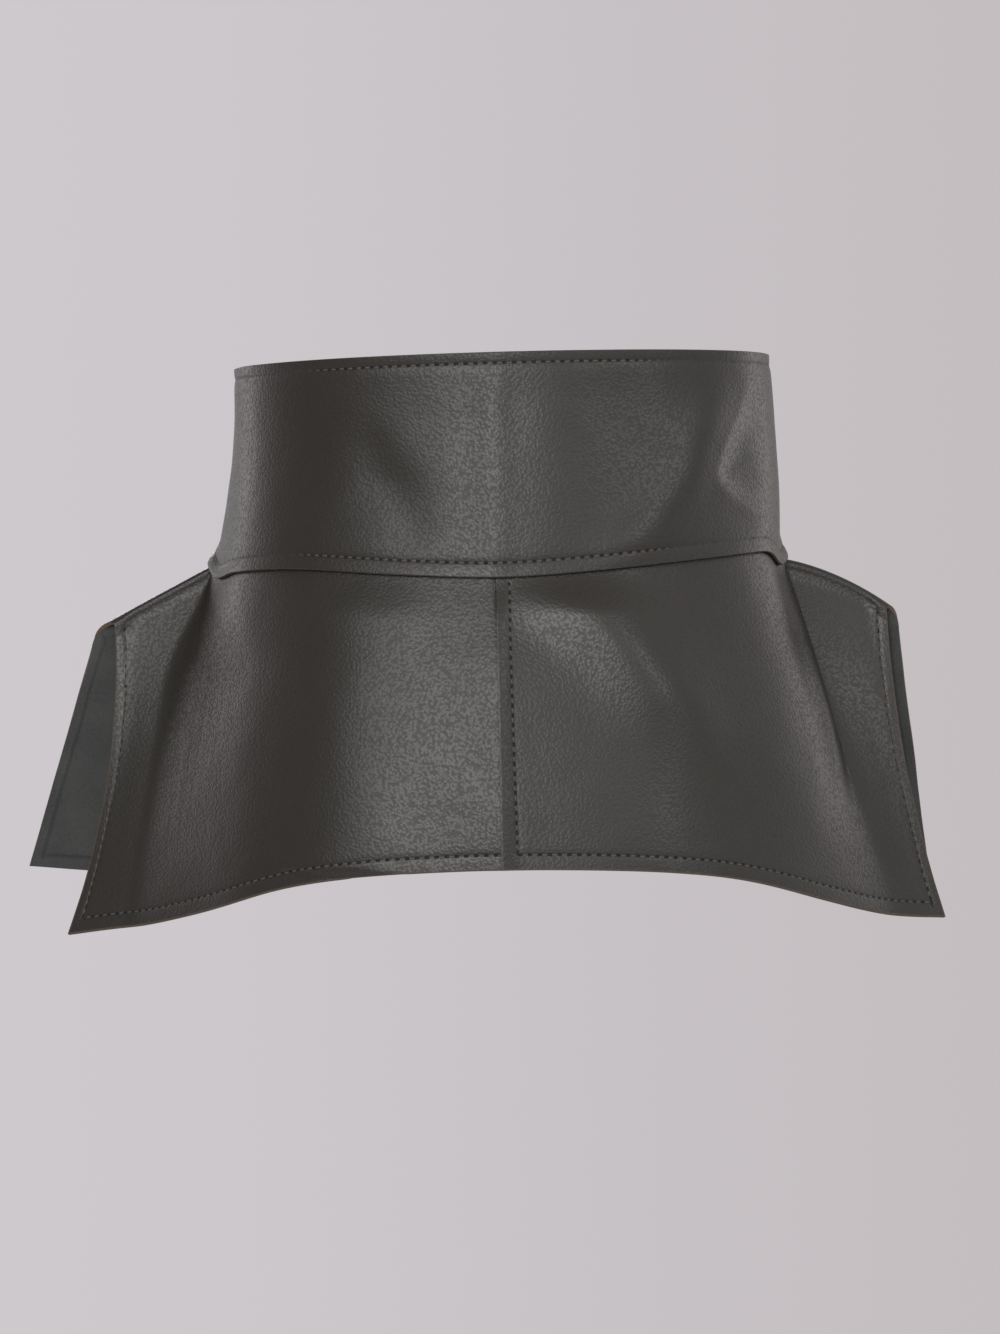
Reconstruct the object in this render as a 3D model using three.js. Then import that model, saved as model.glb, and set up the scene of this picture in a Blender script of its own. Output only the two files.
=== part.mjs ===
// A wide leather waist belt with a peplum: a deep band round the waist, and below it a skirt of
// two leather sides that meet at centre back and overlap at centre front. Over each hip the side is
// folded along a short slanting ridge, and hangs from it as a back wing and a front wing.
// Millimetres. The origin is the middle of the waist hollow, half-way up the band.
// +Z is up, -Y is the wearer's back, +Y the front and +X the wearer's right.
import * as THREE from "three";
import { mergeVertices } from "three/addons/utils/BufferGeometryUtils.js";

// The leather and how close its pieces lie
const leather = 1.6;
const clearance = 0.4;

// The band
const waistWidth = 238; // outside, side to side, at the top edge
const waistBack = 88; // from the middle to centre back, at the top edge
const waistFront = 86; // from the middle to centre front, at the top edge
const bandHeight = 97; // at centre back
const bandSpread = 13; // how much wider the band is at its lower edge
const bandSlope = 10; // how much further out its lower edge is, front and back
const topLean = 3.3; // how far the top edge stands over to the right of the lower edge
const middleLean = 2; // how much further to the right the band bows half-way down
const topTilt = 1; // how much higher the top edge is on the right, and lower on the left
const seamRise = 10; // how much the lower edge rises from centre back towards the right side
const spreadCurve = 1.35; // 1 is an even slope, more puts most of the spread low down
const rootFlare = 3.8; // how far it is pushed out over the root of a ridge
const flareAngle = 10; // over how many degrees to either side
const flareStart = 0.87; // and from what share of the way down
const dentDepth = 3.5; // the deepest dent in the band

// Where the pieces lap over each other
const seamLap = 9; // the skirt reaches this far up behind the band
const backLap = 8.5; // the right side of the skirt over the left, at centre back
const tuckReach = 11.9; // how far from the middle the left side begins to dip under it
const closureLap = 44; // the right end of the belt over the left, at centre front
const closureRamp = 34; // the stretch over which the upper end rises
const stripMargin = 6; // bare leather round the closure strip

// The skirt
const backLength = 124.5; // down centre back, below the band
const frontLength = 126; // down centre front, below the band
const backHem = 122; // from the middle out to the hem at centre back
const frontHem = 104; // the same at centre front
const leftBackHip = 153; // from the middle to the valley beside the left back wing, at the hem
const rightBackHip = 163; // the same on the right
const frontHip = 150; // the same for the two front wings
const leftBackWing = 39.6; // from the valley to the wing's corner, at the hem
const rightBackWing = 31.2;
const leftFrontWing = 66;
const rightFrontWing = 42;
const backCornerDrop = 27.7; // how much lower the back corners hang than the middle of the hem
const frontHipDrop = 3; // how much lower the front hem hangs over the hips
const backFullness = 3; // how far the skirt bows out between band and hem
const frontFullness = 3;
const wingHollow = 4.5; // how far a back wing's free edge bends in between its ends

// The folded ridge over each hip
const leftRidgeReach = 53; // from the inside of the band out to the ridge's tip
const rightRidgeReach = 50;
const leftRidgeFall = 27.5; // how much lower the tip is than the root
const rightRidgeFall = 24;
const leftRidgeArch = 0.2; // how far the crest arches above a straight line
const rightRidgeArch = 3.5;
const leftTipSlant = 7; // how much further in the ridge's tip ends at the back than at the front
const rightTipSlant = 5;
const foldRadius = 2.3; // outside, where the fold is stitched shut
const tipRadius = 3.8; // outside, at the open end of the fold
const pinchDepth = 5; // from the crest down to the stitching

// How finely the sheets are divided
const columnAngle = 5;
const bandRows = 10;
const lapRows = 2;
const skirtRows = 9;
const wingColumns = 8;
const foldParts = 6;

const degree = Math.PI / 180;
const leatherColour = 0x34322c;
const stripColour = 0x202020;

// Dents in the band: where each lies, how wide it is in degrees, how tall as a share of the band's
// height, and how deep as a share of dentDepth.
const dents = [
  { angle: 73, down: 0.4, wide: 11, tall: 0.2, deep: 1 },
  { angle: 57, down: 0.8, wide: 12, tall: 0.15, deep: 0.55 },
  { angle: 25, down: 0.3, wide: 11, tall: 0.26, deep: 0.35 },
  { angle: -47, down: 0.5, wide: 17, tall: 0.28, deep: 0.55 },
  { angle: -25, down: 0.62, wide: 9, tall: 0.14, deep: 0.25 },
];

// The band's lower edge. Column 0 is centre back, -1 and 1 are the crests of the ridges, which it
// steps over between two dips, and -2 and 2 are centre front. rise is a share of seamRise.
const seam = [
  { column: -2.2, rise: 0 },
  { column: -2, rise: 0 },
  { column: -1.5, rise: 0.55 },
  { column: -1.22, rise: 0.55 },
  { column: -1.1, rise: 0.34 },
  { column: -1, rise: 1 },
  { column: -0.9, rise: 0.34 },
  { column: -0.75, rise: 0.54 },
  { column: -0.5, rise: 0.58 },
  { column: -0.22, rise: 0.2 },
  { column: 0, rise: 0 },
  { column: 0.22, rise: 0.22 },
  { column: 0.5, rise: 0.68 },
  { column: 0.75, rise: 1 },
  { column: 0.82, rise: 0.92 },
  { column: 0.9, rise: 0.44 },
  { column: 1, rise: 0.78 },
  { column: 1.1, rise: 0.44 },
  { column: 1.22, rise: 0.8 },
  { column: 1.5, rise: 0.55 },
  { column: 2, rise: 0 },
  { column: 2.2, rise: 0 },
];

// The hems seen from above. Column 0 is the middle, 1 the valley beside the wing and 2 the wing's
// corner. hip is a share of the hip size, wing of the wing size, out of the hem's distance out and
// drop of its drop. The first row repeats the third beyond the middle, where the sides lap.
const leftBackShape = [
  { column: -0.3, hip: -0.444, wing: 0, out: 0.943, drop: 0.09 },
  { column: 0, hip: 0, wing: 0, out: 1, drop: 0 },
  { column: 0.3, hip: 0.444, wing: 0, out: 0.943, drop: 0.09 },
  { column: 0.55, hip: 0.725, wing: 0, out: 0.762, drop: 0.345 },
  { column: 0.78, hip: 0.895, wing: 0, out: 0.574, drop: 0.73 },
  { column: 0.9, hip: 0.954, wing: 0, out: 0.48, drop: 0.8 },
  { column: 1, hip: 1, wing: 0, out: 0.398, drop: 0.83 },
  { column: 1.5, hip: 1, wing: 0.5, out: 0.3, drop: 0.905 },
  { column: 2, hip: 1, wing: 1, out: 0.21, drop: 1 },
];
const rightBackShape = [
  { column: -0.3, hip: -0.43, wing: 0, out: 0.935, drop: 0.09 },
  { column: 0, hip: 0, wing: 0, out: 1, drop: 0 },
  { column: 0.3, hip: 0.43, wing: 0, out: 0.935, drop: 0.09 },
  { column: 0.55, hip: 0.693, wing: 0, out: 0.75, drop: 0.31 },
  { column: 0.78, hip: 0.877, wing: 0, out: 0.56, drop: 0.68 },
  { column: 0.9, hip: 0.95, wing: 0, out: 0.46, drop: 0.8 },
  { column: 1, hip: 1, wing: 0, out: 0.37, drop: 0.88 },
  { column: 1.5, hip: 1, wing: 0.5, out: 0.27, drop: 0.96 },
  { column: 2, hip: 1, wing: 1, out: 0.2, drop: 1 },
];
const leftFrontShape = [
  { column: -0.3, hip: -0.42, wing: 0, out: 0.95, drop: 0.2 },
  { column: 0, hip: 0, wing: 0, out: 1, drop: 0 },
  { column: 0.3, hip: 0.42, wing: 0, out: 0.95, drop: 0.2 },
  { column: 0.55, hip: 0.667, wing: 0, out: 0.82, drop: 0.6 },
  { column: 0.78, hip: 0.853, wing: 0, out: 0.67, drop: 1 },
  { column: 0.9, hip: 0.933, wing: 0, out: 0.61, drop: 1 },
  { column: 1, hip: 1, wing: 0, out: 0.58, drop: 1 },
  { column: 1.5, hip: 1, wing: 0.5, out: 0.58, drop: 0.4 },
  { column: 2, hip: 1, wing: 1, out: 0.6, drop: -0.6 },
];
const rightFrontShape = [
  { column: -0.3, hip: -0.42, wing: 0, out: 0.95, drop: 0.2 },
  { column: 0, hip: 0, wing: 0, out: 1, drop: 0 },
  { column: 0.3, hip: 0.42, wing: 0, out: 0.95, drop: 0.2 },
  { column: 0.55, hip: 0.667, wing: 0, out: 0.82, drop: 0.6 },
  { column: 0.78, hip: 0.853, wing: 0, out: 0.66, drop: 1 },
  { column: 0.9, hip: 0.933, wing: 0, out: 0.58, drop: 1 },
  { column: 1, hip: 1, wing: 0, out: 0.52, drop: 1 },
  { column: 1.5, hip: 1, wing: 0.5, out: 0.48, drop: 1 },
  { column: 2, hip: 1, wing: 1, out: 0.46, drop: 0.8 },
];

const clamp = (x) => Math.min(1, Math.max(0, x));
const smooth = (x) => clamp(x) ** 2 * (3 - 2 * clamp(x));
const mix = (a, b, share) => a + (b - a) * share;
const bump = (x) => Math.exp(-x * x);
const arch = (share) => 4 * share * (1 - share);

// A smooth curve through one column of a table, read at any place between its rows.
function along(table, at, key) {
  const last = table.length - 1;
  let i = 0;
  while (i < last - 1 && at > table[i + 1].column) i += 1;
  const slope = (k) => {
    const before = table[Math.max(0, k - 1)];
    const after = table[Math.min(last, k + 1)];
    return (after[key] - before[key]) / (after.column - before.column);
  };
  const step = table[i + 1].column - table[i].column;
  const f = (at - table[i].column) / step;
  const rise = table[i + 1][key] - table[i][key];
  const bend = (1 - f) * (slope(i) * step - rise) - f * (slope(i + 1) * step - rise);
  return table[i][key] + f * rise + f * (1 - f) * bend;
}

// Evenly spaced numbers from first to last, about step apart.
function steps(first, last, step) {
  const count = Math.max(1, Math.round(Math.abs(last - first) / step));
  return Array.from({ length: count + 1 }, (_, i) => mix(first, last, i / count));
}

// Angles run round the waist from centre back, positive towards +X.
const inset = leather + clearance;
const closureLift = 2 * inset;
const lapAngle = Math.asin(closureLap / waistWidth) / degree;
const rampAngle = Math.asin(closureRamp / waistWidth) / degree;
const foldAngle = Math.asin((2 * foldRadius) / waistWidth) / degree;

// Places along a quarter of the waist, closer together beside the ridge.
const quarter = [...steps(0, 0.78, columnAngle / 90), ...steps(0.78, 1, columnAngle / 180).slice(1)];

// How far the belt's upper end is lifted over the lower one at centre front.
const lift = (angle) => closureLift * smooth((angle - 180 + lapAngle + rampAngle) / rampAngle);

const seamHeight = (angle) => seamRise * along(seam, angle / 90, "rise") - bandHeight / 2;

// A point on the band's outside. down is 0 at the top edge and 1 at the lower edge.
function bandOutside(angle, down) {
  const turn = angle * degree;
  const spread = Math.max(0, down) ** spreadCurve;
  const isBack = Math.cos(turn) > 0;
  const beside = bump((Math.abs(angle) - 90) / flareAngle);
  const sideFlare = beside * smooth((down - flareStart) / (1 - flareStart));
  const lean = topLean * (1 - down) + middleLean * arch(down);
  let push = rootFlare * sideFlare + lift(angle);
  for (const d of dents) {
    push -= dentDepth * d.deep * bump((angle - d.angle) / d.wide) * bump((down - d.down) / d.tall);
  }
  return new THREE.Vector3(
    Math.sin(turn) * ((waistWidth + bandSpread * spread) / 2 + push) + lean,
    -Math.cos(turn) * ((isBack ? waistBack : waistFront) + bandSlope * spread + push),
    mix(bandHeight / 2 + topTilt * Math.sin(turn), seamHeight(angle), down),
  );
}

// A point the given depth inside the band's outside, square to it.
function bandInside(angle, down, depth) {
  const step = 0.01;
  const across = bandOutside(angle + step, down).sub(bandOutside(angle - step, down));
  const fall = bandOutside(angle, down + step).sub(bandOutside(angle, down - step));
  const inward = across.cross(fall).normalize();
  return bandOutside(angle, down).addScaledVector(inward, depth);
}

// A surface between evenly numbered columns and rows, as three.js geometry.
function grid(columns, rows, pointAt, isTurned) {
  const points = columns.flatMap((column) => rows.map((row) => pointAt(column, row)));
  const faces = [];
  for (let i = 0; i < columns.length - 1; i += 1) {
    for (let j = 0; j < rows.length - 1; j += 1) {
      const a = i * rows.length + j;
      const d = a + rows.length;
      if (isTurned) faces.push(a, d + 1, a + 1, a, d, d + 1);
      else faces.push(a, a + 1, d + 1, a, d + 1, d);
    }
  }
  return { points, faces };
}

// A closed solid from surfaces that share their borders: they are its outside, its inside lies one
// wall thickness behind them, and every open border gets a side wall.
function thicken(surfaces, wall) {
  const points = [];
  const faces = [];
  for (const surface of surfaces) {
    faces.push(...surface.faces.map((i) => i + points.length));
    points.push(...surface.points);
  }
  const loose = new THREE.BufferGeometry().setFromPoints(points);
  loose.setIndex(faces);
  const outside = mergeVertices(loose, 1e-4);
  outside.computeVertexNormals();
  const { position, normal } = outside.attributes;
  const corner = (i) => new THREE.Vector3().fromBufferAttribute(position, i);
  const outer = Array.from({ length: position.count }, (_, i) => corner(i));
  const inner = outer.map((p, i) => {
    return p.clone().addScaledVector(new THREE.Vector3().fromBufferAttribute(normal, i), -wall);
  });
  const index = [...outside.index.array];
  const edges = new Set();
  const solidFaces = [...index];
  for (let i = 0; i < index.length; i += 3) {
    const [a, b, c] = index.slice(i, i + 3);
    solidFaces.push(a + outer.length, c + outer.length, b + outer.length);
    edges.add(`${a},${b}`).add(`${b},${c}`).add(`${c},${a}`);
  }
  for (const edge of edges) {
    const [a, b] = edge.split(",").map(Number);
    if (edges.has(`${b},${a}`)) continue;
    solidFaces.push(b, a, a + outer.length, b, a + outer.length, b + outer.length);
  }
  const solid = new THREE.BufferGeometry().setFromPoints([...outer, ...inner]);
  solid.setIndex(solidFaces);
  solid.computeVertexNormals();
  return solid;
}

const leatherFinish = new THREE.MeshStandardMaterial({
  color: leatherColour,
  roughness: 0.5,
  metalness: 0,
});
const stripFinish = new THREE.MeshStandardMaterial({
  color: stripColour,
  roughness: 0.9,
  metalness: 0,
});

function meshOf(name, geometry, finish) {
  const mesh = new THREE.Mesh(geometry, finish);
  mesh.name = name;
  return mesh;
}

function makeBand() {
  const back = quarter.map((column) => column * 90);
  const front = back.map((angle) => 180 - angle).reverse();
  const half = [...back, ...front.slice(1), ...steps(180, 180 + lapAngle, columnAngle).slice(1)];
  const angles = [...half.slice(1).map((angle) => -angle).reverse(), ...half];
  return thicken([grid(angles, steps(0, 1, 1 / bandRows), bandOutside)], leather);
}

// The strip that fastens the upper end of the band to the lower one.
function makeClosureStrip() {
  const edge = lapAngle * (1 - (2 * stripMargin) / closureLap);
  const lowest = 1 - (seamLap + stripMargin) / bandHeight;
  const angles = steps(180 - edge, 180 + edge, columnAngle / 2);
  const downs = steps(stripMargin / bandHeight, lowest, 1 / bandRows);
  const outside = grid(angles, downs, (angle, down) => bandInside(angle, down, inset));
  return thicken([outside], closureLift - leather - 2 * clearance);
}

// One side of the skirt. It is worked out on the +X side and mirrored for the left. face is -1
// for its back and 1 for its front; a column is counted as in the hem tables.
function skirtSide(side) {
  const isRight = side > 0;
  const root = bandInside(side * 90, 1, inset);
  const ridgeReach = isRight ? rightRidgeReach : leftRidgeReach;
  const ridgeFall = isRight ? rightRidgeFall : leftRidgeFall;
  const ridgeArch = isRight ? rightRidgeArch : leftRidgeArch;
  const tipSlant = isRight ? rightTipSlant : leftTipSlant;

  // Across the fold of the ridge, turn goes from -90 degrees at its back to 90 at its front.
  function foldPoint(wing, turn) {
    const radius = mix(foldRadius, tipRadius, smooth((wing - 0.75) / 0.25));
    const slant = (tipSlant / ridgeReach) * (0.5 - 0.5 * Math.sin(turn * degree));
    const share = wing * (1 - slant);
    const crest = root.z - clearance - ridgeFall * share + ridgeArch * arch(share);
    return new THREE.Vector3(
      side * root.x + ridgeReach * share,
      radius * Math.sin(turn * degree),
      crest + radius * (Math.cos(turn * degree) - 1),
    );
  }

  // Under the right side at centre back the left side lies one wall further in.
  const tuck = (x, face) => {
    return isRight || face > 0 ? 0 : inset * smooth((tuckReach - x) / backLap);
  };

  function waistAngle(column, face) {
    const angle = column * (90 - foldAngle);
    return face < 0 ? angle : 180 - angle;
  }

  function waistPoint(column, face, down) {
    const point = bandInside(side * waistAngle(column, face), down, inset);
    point.x *= side;
    point.y -= face * tuck(point.x, face);
    return point;
  }

  function topPoint(column, face) {
    return column < 1 ? waistPoint(column, face, 1) : foldPoint(column - 1, 90 * face);
  }

  function hemPoint(column, face) {
    const shapes = [leftBackShape, rightBackShape, leftFrontShape, rightFrontShape];
    const hips = [leftBackHip, rightBackHip, frontHip, frontHip];
    const wings = [leftBackWing, rightBackWing, leftFrontWing, rightFrontWing];
    const which = (face > 0 ? 2 : 0) + (isRight ? 1 : 0);
    const read = (key) => along(shapes[which], column, key);
    const x = hips[which] * read("hip") + wings[which] * read("wing");
    const out = (face < 0 ? backHem : frontHem) * read("out");
    const length = face < 0 ? backLength : frontLength;
    const drop = (face < 0 ? backCornerDrop : frontHipDrop) * read("drop");
    const raised = face > 0 ? lift(side * waistAngle(column, face)) : 0;
    const y = face * (out + raised - tuck(x, face));
    return new THREE.Vector3(x, y, seamHeight(0) - length - drop);
  }

  // down is 0 at the band's lower edge or the ridge, and 1 at the hem.
  function facePoint(column, face, down) {
    const top = topPoint(column, face);
    const hem = hemPoint(column, face);
    const wing = clamp(column - 1);
    const stitched = (pinchDepth / backLength) * smooth((column - 0.9) / 0.1);
    const point = top.clone().lerp(hem, down);
    point.y = mix(top.y, hem.y, clamp((down - stitched) / (1 - stitched)));
    const turn = clamp(column) * 90 * degree;
    const full = (face < 0 ? backFullness : frontFullness) * arch(down) * (1 - wing);
    point.x += full * Math.sin(turn) - (face < 0 ? wingHollow : 0) * arch(down) * wing;
    point.y += face * full * Math.cos(turn);
    return point;
  }

  const placed = (point) => point.set(point.x * side, point.y, point.z);
  const wings = steps(0, 1, 1 / wingColumns);
  const turns = steps(-90, 90, 180 / foldParts);
  const isTurned = !isRight;
  const surfaces = [];
  surfaces.push(grid(wings, turns, (wing, turn) => placed(foldPoint(wing, turn)), !isTurned));
  const overlap = isRight ? 0.1 * backLap : 0.9 * backLap;
  const starts = { back: (-2 * overlap) / waistWidth / (90 * degree), front: -lapAngle / 90 };
  for (const face of [-1, 1]) {
    const first = face < 0 ? starts.back : starts.front;
    const waist = [...steps(first, 0, columnAngle / 90).slice(0, -1), ...quarter];
    const columns = [...waist, ...wings.slice(1).map((wing) => 1 + wing)];
    const rows = steps(0, 1, 1 / skirtRows);
    const laps = steps(1 - seamLap / bandHeight, 1, 1);
    surfaces.push(grid(columns, rows, (c, down) => placed(facePoint(c, face, down)), face < 0 === isTurned));
    const lapPoint = (column, row) => {
      const above = waistPoint(column, face, 1 - seamLap / bandHeight);
      return placed(above.lerp(topPoint(column, face), row));
    };
    surfaces.push(grid(waist, steps(0, 1, 1 / lapRows), lapPoint, face < 0 === isTurned));
  }
  const rootLap = (turn, row) => {
    const share = (1 + Math.sin(turn * degree)) / 2;
    const angle = mix(90 - foldAngle, 90 + foldAngle, share);
    const above = bandInside(side * angle, 1 - seamLap / bandHeight, inset);
    above.x *= side;
    return placed(above.lerp(foldPoint(0, turn), row));
  };
  surfaces.push(grid(turns, steps(0, 1, 1 / lapRows), rootLap, isTurned));
  return thicken(surfaces, leather);
}

const belt = new THREE.Group();
belt.add(meshOf("waistband", makeBand(), leatherFinish));
belt.add(meshOf("closure_strip", makeClosureStrip(), stripFinish));
belt.add(meshOf("peplum_left", skirtSide(-1), leatherFinish));
belt.add(meshOf("peplum_right", skirtSide(1), leatherFinish));

export default belt;
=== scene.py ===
import bpy
import math
import numpy as np
from mathutils import Matrix, Vector, kdtree, noise


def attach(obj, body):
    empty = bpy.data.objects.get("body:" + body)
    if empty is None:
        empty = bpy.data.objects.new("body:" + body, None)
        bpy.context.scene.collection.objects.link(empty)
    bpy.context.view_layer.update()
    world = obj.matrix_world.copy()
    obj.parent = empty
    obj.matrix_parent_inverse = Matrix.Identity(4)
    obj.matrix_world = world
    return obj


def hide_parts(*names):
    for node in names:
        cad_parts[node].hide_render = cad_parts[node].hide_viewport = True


# Wide leather waist belt with a peplum. Lengths below are millimetres unless a name says
# otherwise, and are turned into metres when a mesh is made.
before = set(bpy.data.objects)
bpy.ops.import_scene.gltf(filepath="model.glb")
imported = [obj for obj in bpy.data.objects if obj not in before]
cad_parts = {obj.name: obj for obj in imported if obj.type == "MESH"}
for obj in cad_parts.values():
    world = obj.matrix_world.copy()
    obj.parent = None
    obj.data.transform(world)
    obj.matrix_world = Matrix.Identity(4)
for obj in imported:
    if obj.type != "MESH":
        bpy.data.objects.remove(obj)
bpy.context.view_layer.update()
mm = 0.001
print("frame loaded:", ", ".join(sorted(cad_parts)))


# helpers for shapes

def smooth(x):
    x = np.clip(x, 0, 1)
    return x * x * (3 - 2 * x)


def bump(x):
    return np.exp(-np.square(x))


def arch(share):
    return 4 * share * (1 - share)


def mix(a, b, share):
    return a + (b - a) * share


# a smooth curve through one column of a table, read at any places between its rows
def along(table, at, key):
    xs = np.array(table["column"], float)
    ys = np.array(table[key], float)
    low = np.maximum(np.arange(len(xs)) - 1, 0)
    high = np.minimum(np.arange(len(xs)) + 1, len(xs) - 1)
    slope = (ys[high] - ys[low]) / (xs[high] - xs[low])
    i = np.clip(np.searchsorted(xs, at) - 1, 0, len(xs) - 2)
    step = xs[i + 1] - xs[i]
    f = (at - xs[i]) / step
    rise = ys[i + 1] - ys[i]
    bend = (1 - f) * (slope[i] * step - rise) - f * (slope[i + 1] * step - rise)
    return ys[i] + f * rise + f * (1 - f) * bend


def unit(vectors):
    return vectors / np.maximum(np.linalg.norm(vectors, axis=-1, keepdims=True), 1e-9)


# a smooth line through a few corners
def curve(corners, count):
    at = np.linspace(0, len(corners) - 1, count)
    table = {"column": list(range(len(corners)))}
    table["a"], table["b"] = zip(*corners)
    return list(zip(along(table, at, "a"), along(table, at, "b")))


# how far points lie to the right of a line through a few corners, and how far along it (0 to 1)
def besideLine(x, y, corners):
    best = np.full(np.shape(x), 1e9)
    side = np.zeros(np.shape(x))
    place = np.zeros(np.shape(x))
    count = len(corners) - 1
    for n in range(count):
        (x0, y0), (x1, y1) = corners[n], corners[n + 1]
        dx, dy = x1 - x0, y1 - y0
        t = np.clip(((x - x0) * dx + (y - y0) * dy) / (dx * dx + dy * dy), 0, 1)
        gap = np.hypot(x - x0 - t * dx, y - y0 - t * dy)
        nearer = gap < best
        best = np.where(nearer, gap, best)
        side = np.where(nearer, np.sign((x - x0) * dy - (y - y0) * dx), side)
        place = np.where(nearer, (n + t) / count, place)
    return best * side, place


# Soft folds: each follows a line. A ridge stands out on both sides of its line, and a step falls
# in on the line's left, as one walks along it, and comes back slowly.
def foldsOf(folds, a, b):
    push = 0.0
    for fold in folds:
        far, place = besideLine(a, b, curve(fold["line"], 40))
        ends = smooth(place / fold.get("fadeIn", 0.25)) * smooth((1 - place) / fold.get("fadeOut", 0.25))
        if fold["kind"] == "ridge":
            push = push + fold["high"] * bump(far / fold["wide"]) * ends
        else:
            share = np.maximum(-far, 0) / fold["wide"]
            push = push + fold["high"] * share ** 2 * np.exp(2 - 2 * share) * ends
    return push


# the band

leather = {"thickness": 1.6, "clearance": 0.4}
inset = leather["thickness"] + leather["clearance"]

band = {
    "width": 238,
    "back": 88,
    "front": 86,
    "height": 97,
    "spread": 13,       # how much wider the lower edge is
    "slope": 10,        # how much further out it is, front and back
    "topLean": 3.3,     # the top edge stands over to the right
    "middleLean": 2,
    "topTilt": 1,
    "seamRise": 10,
    "rootFlare": 3.8,   # how far it stands out over the ridges, at its lower edge
    "flareWide": 10,    # degrees
    "flareFrom": 0.87,
    "flareOver": 0.13,
    "dentDepth": 3.5,
    "closureLap": 44,
    "closureRamp": 34,
    "topStitch": 4.7,   # from the top edge down to its stitching
    "seamStitch": 6.3,  # from the lower edge up to its stitching
    "calmFrom": 140,    # degrees round from which the leather lies even, for the overlap
    "calmOver": 15,
}

# the band's lower edge by column: 0 centre back, -1 and 1 the ridges, -2 and 2 centre front
seamShape = {
    "column": [-2.2, -2, -1.5, -1.22, -1.1, -1, -0.9, -0.75, -0.5, -0.22, 0,
               0.22, 0.5, 0.75, 0.82, 0.9, 1, 1.1, 1.22, 1.5, 2, 2.2],
    "rise": [0, 0, 0.55, 0.55, 0.34, 1, 0.34, 0.54, 0.58, 0.2, 0,
             0.22, 0.68, 1, 0.92, 0.44, 0.78, 0.44, 0.8, 0.55, 0, 0],
}

# dents in the band: degrees round, share down, their widths, and a share of dentDepth
dents = [
    {"angle": 73, "down": 0.4, "wide": 11, "tall": 0.2, "deep": 0.2},
    {"angle": 57, "down": 0.8, "wide": 12, "tall": 0.15, "deep": 0.55},
    {"angle": 25, "down": 0.3, "wide": 11, "tall": 0.26, "deep": 0.35},
    {"angle": -47, "down": 0.5, "wide": 17, "tall": 0.28, "deep": 0.55},
    {"angle": -25, "down": 0.62, "wide": 9, "tall": 0.14, "deep": 0.25},
]

lapAngle = math.degrees(math.asin(band["closureLap"] / band["width"]))
rampAngle = math.degrees(math.asin(band["closureRamp"] / band["width"]))


# how far the upper layer of the overlap at centre front stands out
def lift(angle):
    return 2 * inset * smooth((angle - 180 + lapAngle + rampAngle) / rampAngle)


def seamHeight(angle):
    return band["seamRise"] * along(seamShape, angle / 90, "rise") - band["height"] / 2


# soft folds in the band: (degrees round, share down)
bandFolds = [
    {"kind": "step", "high": -3.1, "wide": 19, "fadeIn": 0.3, "fadeOut": 0.3,
     "line": [(66, 0.04), (63.5, 0.14), (60, 0.25), (55.5, 0.36), (51.7, 0.46), (49.4, 0.54), (48.8, 0.61),
              (50.4, 0.67), (54.2, 0.72), (59.5, 0.77), (65.5, 0.82), (72, 0.87), (79, 0.92)]},
    {"kind": "ridge", "high": 0.7, "wide": 6.5,
     "line": [(-1.6, -0.3), (-2.1, 0.37), (-1.7, 0.7), (-1, 1.3)]},
    {"kind": "ridge", "high": 2.8, "wide": 13,
     "line": [(16, 1.1), (28, 0.87), (40, 0.61), (45, 0.38), (59, 0.14)]},
    {"kind": "ridge", "high": -1, "wide": 11,
     "line": [(-34, 0.26), (-27, 0.5), (-21, 0.7), (-16, 1)]},
]
degreeSize = 2.05  # millimetres round the band in one degree


# the band's outer surface: degrees round from centre back, and share of its height down
def bandOutside(angle, down):
    turn = np.radians(angle)
    spread = np.maximum(0, down) ** 1.35
    sideFlare = bump((np.abs(angle) - 90) / band["flareWide"])
    sideFlare = sideFlare * smooth((down - band["flareFrom"]) / band["flareOver"])
    push = band["rootFlare"] * sideFlare + lift(angle)
    for d in dents:
        place = bump((angle - d["angle"]) / d["wide"]) * bump((down - d["down"]) / d["tall"])
        push = push - band["dentDepth"] * d["deep"] * place
    folds = [dict(fold, line=[(a * degreeSize, -d * band["height"]) for a, d in fold["line"]])
             for fold in bandFolds]
    shaped = foldsOf(folds, angle * degreeSize, -down * band["height"])
    push = push + shaped * (1 - smooth((down - 0.86) / 0.12) * smooth((np.abs(angle) - 60) / 15))
    lean = band["topLean"] * (1 - down) + band["middleLean"] * arch(down)
    depth = np.where(np.cos(turn) > 0, band["back"], band["front"]) + band["slope"] * spread
    top = band["height"] / 2 + band["topTilt"] * np.sin(turn)
    x = np.sin(turn) * ((band["width"] + band["spread"] * spread) / 2 + push) + lean
    y = -np.cos(turn) * (depth + push)
    return np.stack(np.broadcast_arrays(x, y, mix(top, seamHeight(angle), down)), -1)


# the same surface, moved in by a depth
def bandInside(angle, down, depth):
    step = 0.01
    across = bandOutside(angle + step, down) - bandOutside(angle - step, down)
    fall = bandOutside(angle, down + step) - bandOutside(angle, down - step)
    return bandOutside(angle, down) + unit(np.cross(across, fall)) * depth


# rows at set distances from both edges, and evenly spaced between them
def edgedRows(length, first, last, spacing):
    middle = np.max(length) - first[-1] - last[-1]
    count = max(2, int(round(middle / spacing)))
    shares = np.linspace(0, 1, count + 1)[1:-1]
    rows = [np.broadcast_to(f / length, np.shape(length)) for f in first]
    rows += [(first[-1] + (length - first[-1] - last[-1]) * s) / length for s in shares]
    rows += [np.broadcast_to(1 - f / length, np.shape(length)) for f in reversed(last)]
    return np.stack(rows, -1)


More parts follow.
